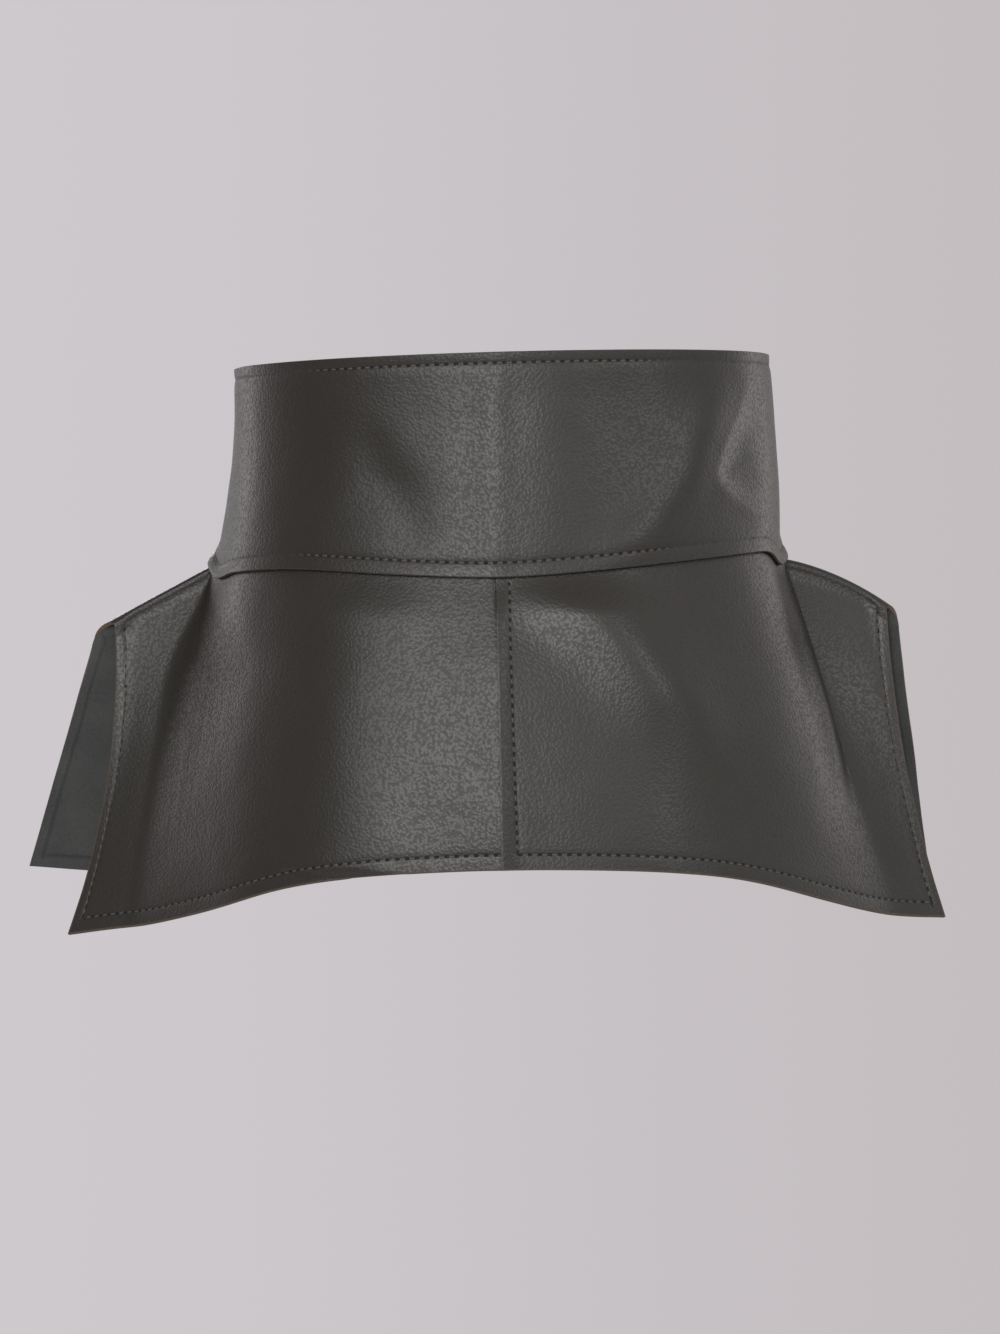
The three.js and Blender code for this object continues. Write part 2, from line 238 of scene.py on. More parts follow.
def stitchedEdge(offset):
    near = [0, 0.4, 1.2, 2.4]
    groove = [offset - 1.5, offset - 0.8, offset - 0.4, offset, offset + 0.4, offset + 0.8]
    return [d for d in near if d < groove[0] - 0.3] + groove + [offset + 1.6, offset + 3]


# distances and stitches

stitch = {
    "pitch": 4.2,
    "length": 2.4,
    "thick": 0.6,
    "rounded": 0.36,    # share of its thickness
    "droop": 0.45,      # how far its ends dip into their holes
    "standing": 0.32,   # share of its thickness, less what is sunk
    "sunk": 0.12,
    "closedSink": 0.4,  # how much deeper it lies where the row is closed
    "slant": 4,         # degrees
    "slantSpread": 2,
    "groove": 0.2,      # the narrow groove of the stitching
    "grooveHalf": 0.8,
    "pull": 0.28,       # the wider pull of the thread on the leather
    "pullHalf": 2.4,
}
# the band's stitches stand open between these degrees, with painted shadow in their holes, and close to a
# thin line round the sides
opening = {"left": -58, "right": 50, "fade": 14}
# how finely rows and edges are followed, and how far from them distances are looked for
search = {"seamStep": 0.15, "edgeStep": 0.3, "reach": 12, "guideReach": 24}
unevenness = [{"high": 0.4, "size": 34, "seed": 5.3}, {"high": 0.12, "size": 13, "seed": 9.1}]
cornerAngle = math.radians(58)
stitchPlaces = {"waistband": [], "peplum_left": [], "peplum_right": []}


def measured(points):
    steps = np.linalg.norm(np.diff(points, axis=0), axis=1)
    return np.concatenate([[0], np.cumsum(steps)])


def resampled(points, spacing):
    run = measured(points)
    count = max(2, int(run[-1] / spacing) + 1)
    at = np.linspace(0, run[-1], count)
    return np.stack([np.interp(at, run, points[:, k]) for k in range(points.shape[1])], -1)


def treeOf(points):
    tree = kdtree.KDTree(len(points))
    for i, p in enumerate(points):
        tree.insert(p, i)
    tree.balance()
    return tree


# distance of every point to the nearest of some lines, and what is written on that line there
def nearestOn(points, lines, reach):
    rows = np.concatenate(lines)
    tree = treeOf(rows[:, :3])
    gaps = np.full(len(points), float(reach))
    notes = np.zeros((len(points), rows.shape[1] - 3))
    for i, p in enumerate(points):
        _, index, gap = tree.find(p)
        if gap < reach:
            gaps[i] = gap
            notes[i] = rows[index, 3:]
    return gaps, notes


# distance of every point of a grid to the nearest edge
def edgeGaps(points, edges):
    lines = [resampled(edge, search["edgeStep"]) for edge in edges]
    return nearestOn(points.reshape(-1, 3), lines, search["reach"])[0].reshape(points.shape[:2])


# across the first direction of a grid and then down its second one
def gridNormals(points):
    return unit(np.cross(np.gradient(points, axis=0), np.gradient(points, axis=1)))


# soft unevenness of worked leather, the same wherever two patches meet
def waviness(points, size, seed):
    flat = points.reshape(-1, 3) / size + seed
    values = np.array([noise.noise(Vector(p)) for p in flat])
    return values.reshape(points.shape[:-1])


def outward(points):
    return unit(points * np.array([1, 1, 0]))


# a flat grid primitive whose vertices are then moved to their places on the shape
def gridPiece(name, points, isTurned):
    columns, rows = points.shape[:2]
    bpy.ops.object.select_all(action="DESELECT")
    bpy.ops.mesh.primitive_grid_add(x_subdivisions=columns - 1, y_subdivisions=rows - 1, size=2)
    piece = bpy.context.object
    piece.name = name
    mesh = piece.data
    flat = np.empty(len(mesh.vertices) * 3)
    mesh.vertices.foreach_get("co", flat)
    flat = flat.reshape(-1, 3)
    i = np.rint((flat[:, 0] + 1) / 2 * (columns - 1)).astype(int)
    j = np.rint((flat[:, 1] + 1) / 2 * (rows - 1)).astype(int)
    mesh.vertices.foreach_set("co", (points[i, j] * mm).ravel())
    if isTurned:
        mesh.flip_normals()
    mesh.update()
    return piece, (i, j)


def setAttribute(piece, name, values):
    attribute = piece.data.attributes.new(name, "FLOAT", "POINT")
    attribute.data.foreach_set("value", np.asarray(values, np.float32))


def only(piece):
    bpy.ops.object.select_all(action="DESELECT")
    piece.select_set(True)
    bpy.context.view_layer.objects.active = piece


def applied(piece, kind, **settings):
    only(piece)
    modifier = piece.modifiers.new(kind.title(), kind)
    for key, value in settings.items():
        setattr(modifier, key, value)
    bpy.ops.object.modifier_apply(modifier=modifier.name)


def joined(name, pieces):
    bpy.ops.object.select_all(action="DESELECT")
    for piece in pieces:
        piece.select_set(True)
    bpy.context.view_layer.objects.active = pieces[0]
    if len(pieces) > 1:
        bpy.ops.object.join()
    result = bpy.context.object
    result.name = name
    result.data.name = name
    return result


# one sheet of leather from patches that share their borders
def sheetOf(name, patches):
    pieces = []
    for n, patch in enumerate(patches):
        piece, (i, j) = gridPiece(f"{name}_patch{n}", patch["points"], patch["isTurned"])
        for key in ("stitchOffset", "stitchRun", "stitchOpen", "edgeDistance", "cutDistance"):
            setAttribute(piece, key, patch[key][i, j])
        pieces.append(piece)
    sheet = joined(name, pieces)
    only(sheet)
    bpy.ops.object.mode_set(mode="EDIT")
    bpy.ops.mesh.select_all(action="SELECT")
    bpy.ops.mesh.remove_doubles(threshold=0.00002)
    bpy.ops.object.mode_set(mode="OBJECT")
    for material in (leatherFinish, backingFinish, edgeFinish):
        sheet.data.materials.append(material)
    applied(sheet, "SOLIDIFY", thickness=leather["thickness"] * mm, offset=-1,
            use_quality_normals=True, material_offset=1, material_offset_rim=2)
    applied(sheet, "BEVEL", width=0.3 * mm, segments=2, limit_method="ANGLE",
            angle_limit=cornerAngle, use_clamp_overlap=True)
    only(sheet)
    bpy.ops.object.shade_smooth()
    return sheet


def stitchOpening(points):
    angle = np.degrees(np.arctan2(points[..., 0], -points[..., 1]))
    return (smooth((angle - opening["left"]) / opening["fade"])
            * smooth((opening["right"] - angle) / opening["fade"]))


# Grooves, unevenness and stitch places, worked out for a patch before it becomes a mesh. A row of
# stitches keeps the given offset from its edge line.
def finishPatch(piece, points, wanted, seams, edges, pull=stitch["pull"], calm=1, cuts=None):
    shape = points.shape[:2]
    reach = search["reach"]
    normals = gridNormals(points)
    isTurned = bool(np.sum(normals * wanted) < 0)
    normals = -normals if isTurned else normals
    stitched = []
    guides = []
    for seam in seams:
        fine = resampled(seam["stitches"], search["seamStep"])
        run = measured(fine)
        note = np.full(len(run), stitch["pitch"] / 2) if seam.get("isQuiet") else run
        stitched.append(np.column_stack([fine, note]))
        offset = np.broadcast_to(seam["offset"], len(seam["edge"]))
        guides.append(resampled(np.column_stack([seam["edge"], offset]), search["seamStep"]))
    signed = np.full(shape, float(reach))
    runs = np.zeros(shape)
    if seams:
        flat = points.reshape(-1, 3)
        gap, note = nearestOn(flat, stitched, reach)
        guideGap, guideNote = nearestOn(flat, guides, search["guideReach"])
        aside = guideGap - guideNote[:, 0]
        far = np.maximum(np.abs(aside), gap - search["seamStep"])
        signed = (np.sign(aside) * np.where(gap < reach, far, reach)).reshape(shape)
        runs = note[:, 0].reshape(shape) / stitch["pitch"]
    sink = stitch["groove"] * bump(signed / stitch["grooveHalf"])
    sink = sink + pull * bump(signed / stitch["pullHalf"])
    uneven = calm * sum(u["high"] * waviness(points, u["size"], u["seed"]) for u in unevenness)
    moved = points - normals * sink[..., None] + outward(points) * uneven[..., None]
    normals = (gridNormals(moved) * (-1 if isTurned else 1)).reshape(-1, 3)
    flat = moved.reshape(-1, 3)
    tree = treeOf(flat)
    for seam in seams:
        run = measured(seam["stitches"])
        count = int(run[-1] / stitch["pitch"])
        for r in (np.arange(count) + 0.5) * stitch["pitch"]:
            ends = [np.array([np.interp(r + d, run, seam["stitches"][:, k]) for k in range(3)])
                    for d in (-1, 0, 1)]
            _, index, _ = tree.find(ends[1])
            normal = normals[index]
            sunk = stitch["closedSink"] * (1 - stitchOpening(ends[1])) if piece == "waistband" else 0
            raised = np.dot(flat[index] - ends[1], normal) + seam.get("raised", 0) - sunk
            slant = seam.get("slant", stitch["slant"])
            stitchPlaces[piece].append((ends[1] + normal * raised, ends[2] - ends[0], normal, slant))
    return {
        "points": moved,
        "isTurned": isTurned,
        "stitchOffset": signed,
        "stitchRun": runs,
        "stitchOpen": stitchOpening(points) if piece == "waistband" else np.ones(shape),
        "edgeDistance": edgeGaps(points, edges),
        "cutDistance": edgeGaps(points, cuts) if cuts else np.full(shape, float(reach)),
    }


# materials

# one value in a node tree, with the usual arithmetic
class Wire:
    def __init__(self, desk, socket):
        self.desk = desk
        self.socket = socket

    def __add__(self, other):
        return self.desk.sum("ADD", self, other)

    def __sub__(self, other):
        return self.desk.sum("SUBTRACT", self, other)

    def __rsub__(self, other):
        return self.desk.sum("SUBTRACT", other, self)

    def __mul__(self, other):
        return self.desk.sum("MULTIPLY", self, other)

    __radd__ = __add__
    __rmul__ = __mul__


# a node tree and short ways to add to it; inputs go by name, with _ for a space, or by number
class Desk:
    def __init__(self, tree):
        self.tree = tree
        tree.nodes.clear()

    def add(self, kind, settings=None, output=0, **inputs):
        node = self.tree.nodes.new(kind)
        for name, value in (settings or {}).items():
            setattr(node, name, value)
        for name, value in inputs.items():
            key = int(name[1:]) if name[1:].isdigit() else name.replace("_", " ")
            self.join(value, node.inputs[key])
        return Wire(self, node.outputs[output])

    def join(self, value, socket):
        if isinstance(value, Wire):
            self.tree.links.new(value.socket, socket)
        else:
            socket.default_value = value

    def sum(self, operation, a, b=0.0):
        return self.add("ShaderNodeMath", {"operation": operation}, i0=a, i1=b)

    def finish(self, shader):
        output = self.tree.nodes.new("ShaderNodeOutputMaterial")
        self.tree.links.new(shader.socket, output.inputs["Surface"])

    def surface(self, colour, relief, strength, depth, **settings):
        bumps = self.add("ShaderNodeBump", Strength=strength, Distance=depth, Height=relief)
        self.finish(self.add("ShaderNodeBsdfPrincipled", Base_Color=colour, Normal=bumps, **settings))

    def step(self, value, low, high):
        settings = {"interpolation_type": "SMOOTHSTEP"}
        return self.add("ShaderNodeMapRange", settings, Value=value, From_Min=low, From_Max=high)

    def blend(self, share, a, b):
        settings = {"data_type": "RGBA"}
        return self.add("ShaderNodeMix", settings, 2, i0=share, i6=a, i7=b)

    def attribute(self, name):
        return self.add("ShaderNodeAttribute", {"attribute_name": name}, 2)

    def place(self):
        return self.add("ShaderNodeTexCoord", None, 3)

    def noise(self, scale, detail=3.0, roughness=0.55):
        return self.add("ShaderNodeTexNoise", Vector=self.place(), Scale=scale, Detail=detail,
                        Roughness=roughness)

    def cells(self, scale, feature="F1", vector=None):
        settings = {"feature": feature}
        return self.add("ShaderNodeTexVoronoi", settings, 0, Vector=vector or self.place(), Scale=scale)


def newFinish(name):
    material = bpy.data.materials.new(name)
    material.use_nodes = True
    return material, Desk(material.node_tree)


grain = {
    "cell": 1.2 * mm,
    "warp": 0.5 * mm,
    "depth": 0.08 * mm,
    "dark": (0.0196, 0.0164, 0.0134, 1),
    "light": (0.0312, 0.0266, 0.0222, 1),
    "cut": (0.105, 0.074, 0.054, 1),
    # painted shadow inside the stitch holes
    "hole": (0.006, 0.005, 0.005, 1),
}


def makeLeather():
    material, desk = newFinish("leather_grained")
    place = desk.place()
    warp = desk.noise(420.0, 2.0)
    bent = desk.add("ShaderNodeVectorMath", {"operation": "MULTIPLY_ADD"}, i0=warp,
                    i1=(grain["warp"],) * 3, i2=place)
    pebbles = desk.cells(1 / grain["cell"], "SMOOTH_F1", bent)
    # the crevices between the pebbles: the grain's own darker tone, and painted shade in these recesses
    crevice = desk.step(pebbles, 0.3, 0.62)
    fine = desk.noise(2600.0)
    patches = desk.noise(22.0)
    # the stitch holes, where the band's stitches stand open: darkened with a painted shadow, and sunk in
    # the relief
    nearHole = desk.sum("PINGPONG", desk.attribute("stitchRun"), 0.5)
    across = desk.sum("ABSOLUTE", desk.attribute("stitchOffset"))
    hole = desk.step(nearHole, 0.24, 0.17) * desk.step(across, 0.62, 0.35) * desk.attribute("stitchOpen")
    cut = desk.step(desk.attribute("cutDistance"), 0.8, 0.25)
    # painted shade along the groove of each stitch row
    line = desk.step(across, 0.9, 0.15)
    worn = desk.step(desk.attribute("edgeDistance"), 0.9, 0.1) * desk.step(patches, 0.4, 0.75)
    shade = 0.4 + 0.5 * patches - 0.4 * crevice - 0.18 * line + 0.4 * worn
    colour = desk.blend(shade, grain["dark"], grain["light"])
    colour = desk.blend(hole, colour, grain["hole"])
    colour = desk.blend(0.6 * cut, colour, grain["cut"])
    gloss = 0.33 + 0.06 * (1 - patches) + 0.12 * crevice + 0.12 * line + 0.3 * hole + 0.35 * cut
    relief = -1.0 * pebbles - 0.25 * crevice + 0.1 * fine - 2.5 * hole
    desk.surface(colour, relief, 1.0, grain["depth"], Roughness=gloss, IOR=1.5)
    return material


felt = {"depth": 0.16 * mm, "dark": (0.028, 0.031, 0.028, 1), "light": (0.085, 0.088, 0.081, 1)}


def makeBacking():
    material, desk = newFinish("felt_backing")
    fibres = desk.noise(900.0, 4.0, 0.7)
    clouds = desk.noise(45.0, 2.0)
    line = desk.step(desk.sum("ABSOLUTE", desk.attribute("stitchOffset")), 1.3, 0.2)
    shade = 1.1 * fibres + 0.8 * clouds - 0.5 - 0.35 * line
    colour = desk.blend(shade, felt["dark"], felt["light"])
    desk.surface(colour, fibres, 0.7, felt["depth"], Roughness=0.95, Sheen_Weight=0.35)
    return material


rawEdge = {"depth": 0.15 * mm, "dark": (0.036, 0.024, 0.017, 1), "light": (0.16, 0.105, 0.07, 1)}


def makeEdge():
    material, desk = newFinish("raw_edge")
    fibres = desk.noise(1400.0, 4.0, 0.7)
    clouds = desk.noise(90.0, 2.0)
    colour = desk.blend(0.2 + 0.4 * fibres + 0.4 * clouds, rawEdge["dark"], rawEdge["light"])
    desk.surface(colour, fibres, 0.8, rawEdge["depth"], Roughness=0.85)
    return material


taupe = {"depth": 0.08 * mm, "dark": (0.05, 0.04, 0.034, 1), "light": (0.15, 0.122, 0.108, 1)}


def makeThread():
    material, desk = newFinish("taupe_thread")
    strands = desk.noise(3500.0, 2.0)
    colour = desk.blend(strands, taupe["dark"], taupe["light"])
    desk.surface(colour, strands, 0.6, taupe["depth"], Roughness=0.55)
    return material


hookTape = {"depth": 0.4 * mm, "dark": (0.008, 0.008, 0.008, 1), "light": (0.03, 0.03, 0.03, 1)}


def makeHookTape():
    material, desk = newFinish("hook_tape")
    hooks = desk.cells(900.0)
    colour = desk.blend(hooks, hookTape["light"], hookTape["dark"])
    desk.surface(colour, 1 - hooks, 1.0, hookTape["depth"], Roughness=0.6)
    return material


leatherFinish = makeLeather()
backingFinish = makeBacking()
edgeFinish = makeEdge()
threadFinish = makeThread()
hookFinish = makeHookTape()
print("finishes made")


# the waistband

# its columns are one degree apart, and closer over the hips and at its ends
def makeBand():
    end = 180 + lapAngle
    columns = np.concatenate([
        np.linspace(-end, -end + 3, 8), np.linspace(-end + 4, -100, 108), np.linspace(-99, -72, 41),
        np.linspace(-71, 71, 143), np.linspace(72, 99, 41), np.linspace(100, end - 4, 108),
        np.linspace(end - 3, end, 8),
    ])
    height = band["height"] / 2 - seamHeight(columns)
    rows = edgedRows(height, stitchedEdge(band["topStitch"]), stitchedEdge(band["seamStitch"]), 1.9)
    angles = np.broadcast_to(columns[:, None], rows.shape)
    points = bandOutside(angles, rows)
    fine = np.linspace(-end + 2.2, end - 2.2, 1400)
    tall = band["height"] / 2 - seamHeight(fine)
    topEdge = bandOutside(fine, 0 * fine)
    lowEdge = bandOutside(fine, 0 * fine + 1)
    seams = [
        {"stitches": bandOutside(fine, band["topStitch"] / tall), "edge": topEdge,
         "offset": band["topStitch"]},
        {"stitches": bandOutside(fine, 1 - band["seamStitch"] / tall), "edge": lowEdge,
         "offset": band["seamStitch"]},
    ]
    downs = np.linspace(0, 1, 80)
    edges = [topEdge, lowEdge] + [bandOutside(0 * downs + a, downs) for a in (-end, end)]
    calm = 1 - smooth((np.abs(angles) - band["calmFrom"]) / band["calmOver"])
    patch = finishPatch("waistband", points, outward(points), seams, edges, calm=calm)
    return sheetOf("waistband_leather", [patch])


bandPiece = makeBand()
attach(bandPiece, "root")
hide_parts("waistband")
print("waistband:", len(bandPiece.data.polygons), "faces")


# the strip that closes the belt at centre front

closure = {"margin": 6, "rounded": 0.35}


def makeClosure():
    reach = lapAngle * (1 - 2 * closure["margin"] / band["closureLap"])
    top = closure["margin"] / band["height"]
    low = 1 - (peplum["lap"] + closure["margin"]) / band["height"]
    columns = np.linspace(180 - reach, 180 + reach, 25)
    rows = np.linspace(top, low, 45)
    angles, downs = np.meshgrid(columns, rows, indexing="ij")
    points = bandInside(angles, downs, inset)
    normals = gridNormals(points)
    isTurned = bool(np.sum(normals * outward(points)) < 0)
    piece, _ = gridPiece("closure_tape", points, isTurned)
    piece.data.materials.append(hookFinish)
    wall = 2 * inset - leather["thickness"] - 2 * leather["clearance"]
    applied(piece, "SOLIDIFY", thickness=wall * mm, offset=-1)
    applied(piece, "BEVEL", width=closure["rounded"] * mm, segments=2, limit_method="ANGLE",
            angle_limit=cornerAngle)
    only(piece)
    bpy.ops.object.shade_smooth()
    return piece


# the peplum

peplum = {
    "lap": 9,           # how far it reaches up behind the band
    "backLap": 8.5,     # the right side over the left at centre back
    "backLength": 124.5,
    "frontLength": 126,
    "backHem": 122,
    "frontHem": 104,
    "backCornerDrop": 27.7,
    "frontHipDrop": 3,
    "backFullness": 3,
    "frontFullness": 3,
    "foldRadius": 2.3,
    "tipRadius": 3.8,
    "pinchDepth": 5,
    "lapTuck": 0.25,    # how far the left side dips under the right one, once clear of the band
    "tuckFade": 1.1,
    "lapRaise": 1.5,    # how far the right one stands out over it
    "raiseFade": 8,
    "peak": 2.6,        # how far both stand out along the seam between them
    "peakReach": 19,
    "foldSide": 0.8,    # share of a soft fold's height that goes sideways
    "hemStitch": 6.6,   # from an edge in to its stitching
    "wingStitch": 4.6,
    "ridgeStitch": 4.7,
    "ridgeWrap": 2.2,   # how much of that lies over the ridge itself
    "ridgeRaise": 0.12,
    "centreStitch": (5.6, 7.5),
    "centreSlant": 12,
    "pull": 0.08,
}
# the valley beside a wing: its rounding and its roll, in columns and shares down
valley = {"spread": 0.6, "samples": 19, "reach": 0.95, "rollAt": 0.93, "rollWide": 0.05,
          "rollEnd": 0.75, "rollFade": 0.35}

# by column: 0 the middle, 1 the valley beside the wing, 2 the wing's corner
shapeColumns = [-0.3, 0, 0.3, 0.55, 0.78, 0.9, 1, 1.5, 2]
noWing = [0, 0, 0, 0, 0, 0, 0, 0.5, 1]
sides = {
    "left": {
        "sign": -1, "lapShare": 0.9, "ridgeReach": 53, "ridgeFall": 27.5, "ridgeArch": 0.2,
        "tipSlant": 9.5, "wingHollow": 7,
        "back": {
            "hip": 153, "wing": 39.6, "rounding": 0.65, "roundFrom": 0, "roundOver": 0.3, "roll": 0,
            "folds": [
                {"kind": "ridge", "high": 2.5, "wide": 26, "fadeIn": 0.05, "fadeOut": 0.02,
                 "line": [(-60, -40), (-62, -80), (-65, -120), (-69, -175)]},
            ],
            "shape": {"column": shapeColumns, "wing": noWing,
                      "hip": [-0.444, 0, 0.444, 0.725, 0.895, 0.954, 1, 1, 1],
                      "out": [0.943, 1, 0.943, 0.762, 0.574, 0.48, 0.398, 0.315, 0.23],
                      "drop": [0.09, 0, 0.09, 0.345, 0.73, 0.8, 0.83, 0.905, 1]},
        },
        "front": {
            "hip": 150, "wing": 66, "rounding": 0.2, "roundFrom": 0, "roundOver": 0.45, "roll": 0,
            "folds": [],
            "shape": {"column": shapeColumns, "wing": noWing,
                      "hip": [-0.42, 0, 0.42, 0.667, 0.853, 0.933, 1, 1, 1],
                      "out": [0.95, 1, 0.95, 0.82, 0.67, 0.61, 0.58, 0.58, 0.6],
                      "drop": [0.2, 0, 0.2, 0.6, 1, 1, 1, 0.4, -0.6]},
        },
    },
    "right": {
        "sign": 1, "lapShare": 0.1, "ridgeReach": 50, "ridgeFall": 24, "ridgeArch": 3.5,
        "tipSlant": 5, "wingHollow": 4.5,
        "back": {
            "hip": 163, "wing": 31.2, "rounding": 0.45, "roundFrom": 0.5, "roundOver": 0.45, "roll": 2.5,
            "folds": [
                {"kind": "ridge", "high": 6, "wide": 17.5, "fadeIn": 0.12, "fadeOut": 0.4,
                 "line": [(12, -34), (36, -58), (60, -85), (80, -113), (96, -160)]},
            ],
            "shape": {"column": shapeColumns, "wing": noWing,
                      "hip": [-0.43, 0, 0.43, 0.693, 0.877, 0.95, 1, 1, 1],
                      "out": [0.935, 1, 0.935, 0.75, 0.56, 0.46, 0.37, 0.27, 0.2],
                      "drop": [0.09, 0, 0.09, 0.31, 0.68, 0.8, 0.88, 0.96, 1]},
        },
        "front": {
            "hip": 150, "wing": 42, "rounding": 0.2, "roundFrom": 0, "roundOver": 0.45, "roll": 0,
            "folds": [],
            "shape": {"column": shapeColumns, "wing": noWing,
                      "hip": [-0.42, 0, 0.42, 0.667, 0.853, 0.933, 1, 1, 1],
                      "out": [0.95, 1, 0.95, 0.82, 0.66, 0.58, 0.52, 0.48, 0.46],
                      "drop": [0.2, 0, 0.2, 0.6, 1, 1, 1, 1, 0.8]},
        },
    },
}
foldAngle = math.degrees(math.asin(2 * peplum["foldRadius"] / band["width"]))
lapDown = 1 - peplum["lap"] / band["height"]
lapRows = np.linspace(0, 1, 4)[:, None]


def faceOf(s, face):
    return s["back"] if face < 0 else s["front"]


# In what follows s is a side, face is -1 for its back and 1 for its front, and x grows away from
# the middle on both sides.

# across the fold over the hip: turn goes from -90 degrees at its back to 90 at its front
def foldPoint(s, wing, turn):
    sine = np.sin(np.radians(turn))
    cosine = np.cos(np.radians(turn))
    radius = mix(peplum["foldRadius"], peplum["tipRadius"], smooth((wing - 0.75) / 0.25))
    share = wing * (1 - s["tipSlant"] / s["ridgeReach"] * (0.5 - 0.5 * sine))
    crest = s["root"][2] - leather["clearance"] - s["ridgeFall"] * share + s["ridgeArch"] * arch(share)
    x = s["sign"] * s["root"][0] + s["ridgeReach"] * share
    return np.stack(np.broadcast_arrays(x, radius * sine, crest + radius * (cosine - 1)), -1)


# at centre back the left side dips in under the right one, and that one stands out over it
def tuck(s, x, face, down):
    if face > 0:
        return 0 * x
    free = smooth((down - 0.01) / 0.14)
    if s["sign"] > 0:
        return -peplum["lapRaise"] * free * (1 - smooth((x + 1) / peplum["raiseFade"]))
    return mix(inset, peplum["lapTuck"], free) * smooth((1 - x) / peplum["tuckFade"])


def waistAngle(column, face):
    angle = column * (90 - foldAngle)
    return angle if face < 0 else 180 - angle


# behind the band
def waistPoint(s, column, face, down):
    point = bandInside(s["sign"] * waistAngle(column, face), down, inset)
    point[..., 0] *= s["sign"]
    return point


def topPoint(s, column, face):
    onBand = waistPoint(s, np.minimum(column, 1), face, np.ones(np.shape(column)))
    onFold = foldPoint(s, np.maximum(column - 1, 0), 90.0 * face)
    return np.where((column < 1)[..., None], onBand, onFold)


def hemPoint(s, column, face):
    part = faceOf(s, face)
    shape = part["shape"]
    x = part["hip"] * along(shape, column, "hip") + part["wing"] * along(shape, column, "wing")
    out = peplum["backHem" if face < 0 else "frontHem"] * along(shape, column, "out")
    length = peplum["backLength" if face < 0 else "frontLength"]
    drop = peplum["backCornerDrop" if face < 0 else "frontHipDrop"] * along(shape, column, "drop")
    raised = lift(s["sign"] * waistAngle(column, face)) if face > 0 else 0
    y = face * (out + raised)
    return np.stack(np.broadcast_arrays(x, y, seamHeight(0) - length - drop), -1)


def fallLength(s, column, face):
    return np.linalg.norm(topPoint(s, column, face) - hemPoint(s, column, face), axis=-1)


# down is 0 at the band's lower edge or the ridge, and 1 at the hem
def plainPoint(s, column, face, down):
    top = topPoint(s, column, face)
    hem = hemPoint(s, column, face)
    wing = np.clip(column - 1, 0, 1)
    stitched = peplum["pinchDepth"] / peplum["backLength"] * smooth((column - 0.9) / 0.1)
    point = mix(top, hem, down[..., None])
    point[..., 1] = mix(top[..., 1], hem[..., 1], np.clip((down - stitched) / (1 - stitched), 0, 1))
    turn = np.radians(np.clip(column, 0, 1) * 90)
    full = peplum["backFullness" if face < 0 else "frontFullness"] * arch(down) * (1 - wing)
    hollow = s["wingHollow"] if face < 0 else 0
    point[..., 0] += full * np.sin(turn) - hollow * arch(down) * wing
    point[..., 1] += face * full * np.cos(turn)
    return point


# the same with the valley beside the wing rounded, the laps at centre back, and the soft folds
def facePoint(s, column, face, down):
    column, down = np.broadcast_arrays(np.asarray(column, float), np.asarray(down, float))
    part = faceOf(s, face)
    begun = smooth((down - part["roundFrom"]) / part["roundOver"])
    near = bump((column - 1) / valley["spread"]) * begun * part["rounding"]
    shares = np.linspace(-valley["reach"], valley["reach"], valley["samples"])
    weights = np.cos(shares * math.pi / 2) ** 2
    aside = [w * plainPoint(s, column + d * near, face, down) for d, w in zip(shares, weights)]
    point = sum(aside) / np.sum(weights)
    rolled = bump((column - valley["rollAt"]) / valley["rollWide"]) * smooth(down / 0.2)
    rolled = rolled * smooth((valley["rollEnd"] - down) / valley["rollFade"])
    point[..., 0] += part["roll"] * rolled
    turn = np.radians(np.clip(column, 0, 1) * 90)
    push = foldsOf(part["folds"], point[..., 0] * s["sign"], point[..., 2]) * smooth(down / 0.15)
    if face < 0:
        peaked = np.exp(-np.abs(point[..., 0]) / peplum["peakReach"])
        point[..., 1] -= peplum["peak"] * peaked * smooth(down / 0.35)
    point[..., 1] -= face * tuck(s, point[..., 0], face, down)
    point[..., 0] += push * np.sin(turn) * peplum["foldSide"] * (column < 1)
    point[..., 1] += face * push * np.cos(turn * (column < 1))
    return point


def placedOn(s, points):
    return points * np.array([s["sign"], 1, 1])


# columns of one face of the skirt, closer together at its stitched edges and in the valley
def faceColumns(s, face, start):
    part = faceOf(s, face)
    perColumn = 205     # millimetres
    hipFrom = 0.84
    nearStart = start + np.array([0, 0.4, 1.2, 2.4, 3.6, 4.6, 5.2, 5.6, 6, 6.6, 7.6, 9]) / perColumn
    toHip = np.linspace(nearStart[-1], hipFrom, int((hipFrom - nearStart[-1]) * perColumn / 1.9))
    hip = np.linspace(hipFrom, 1, 27)
    waist = np.concatenate([nearStart, toHip[1:], hip[1:]])
    width = mix(s["ridgeReach"], part["wing"], 0.4)
    edge = np.array(stitchedEdge(peplum["wingStitch"]))
    inner = np.linspace(0, 1 - edge[-1] / width, int((width - edge[-1]) / 1.7))
    wing = np.concatenate([inner, (1 - edge / width)[::-1][1:]])
    return waist, wing


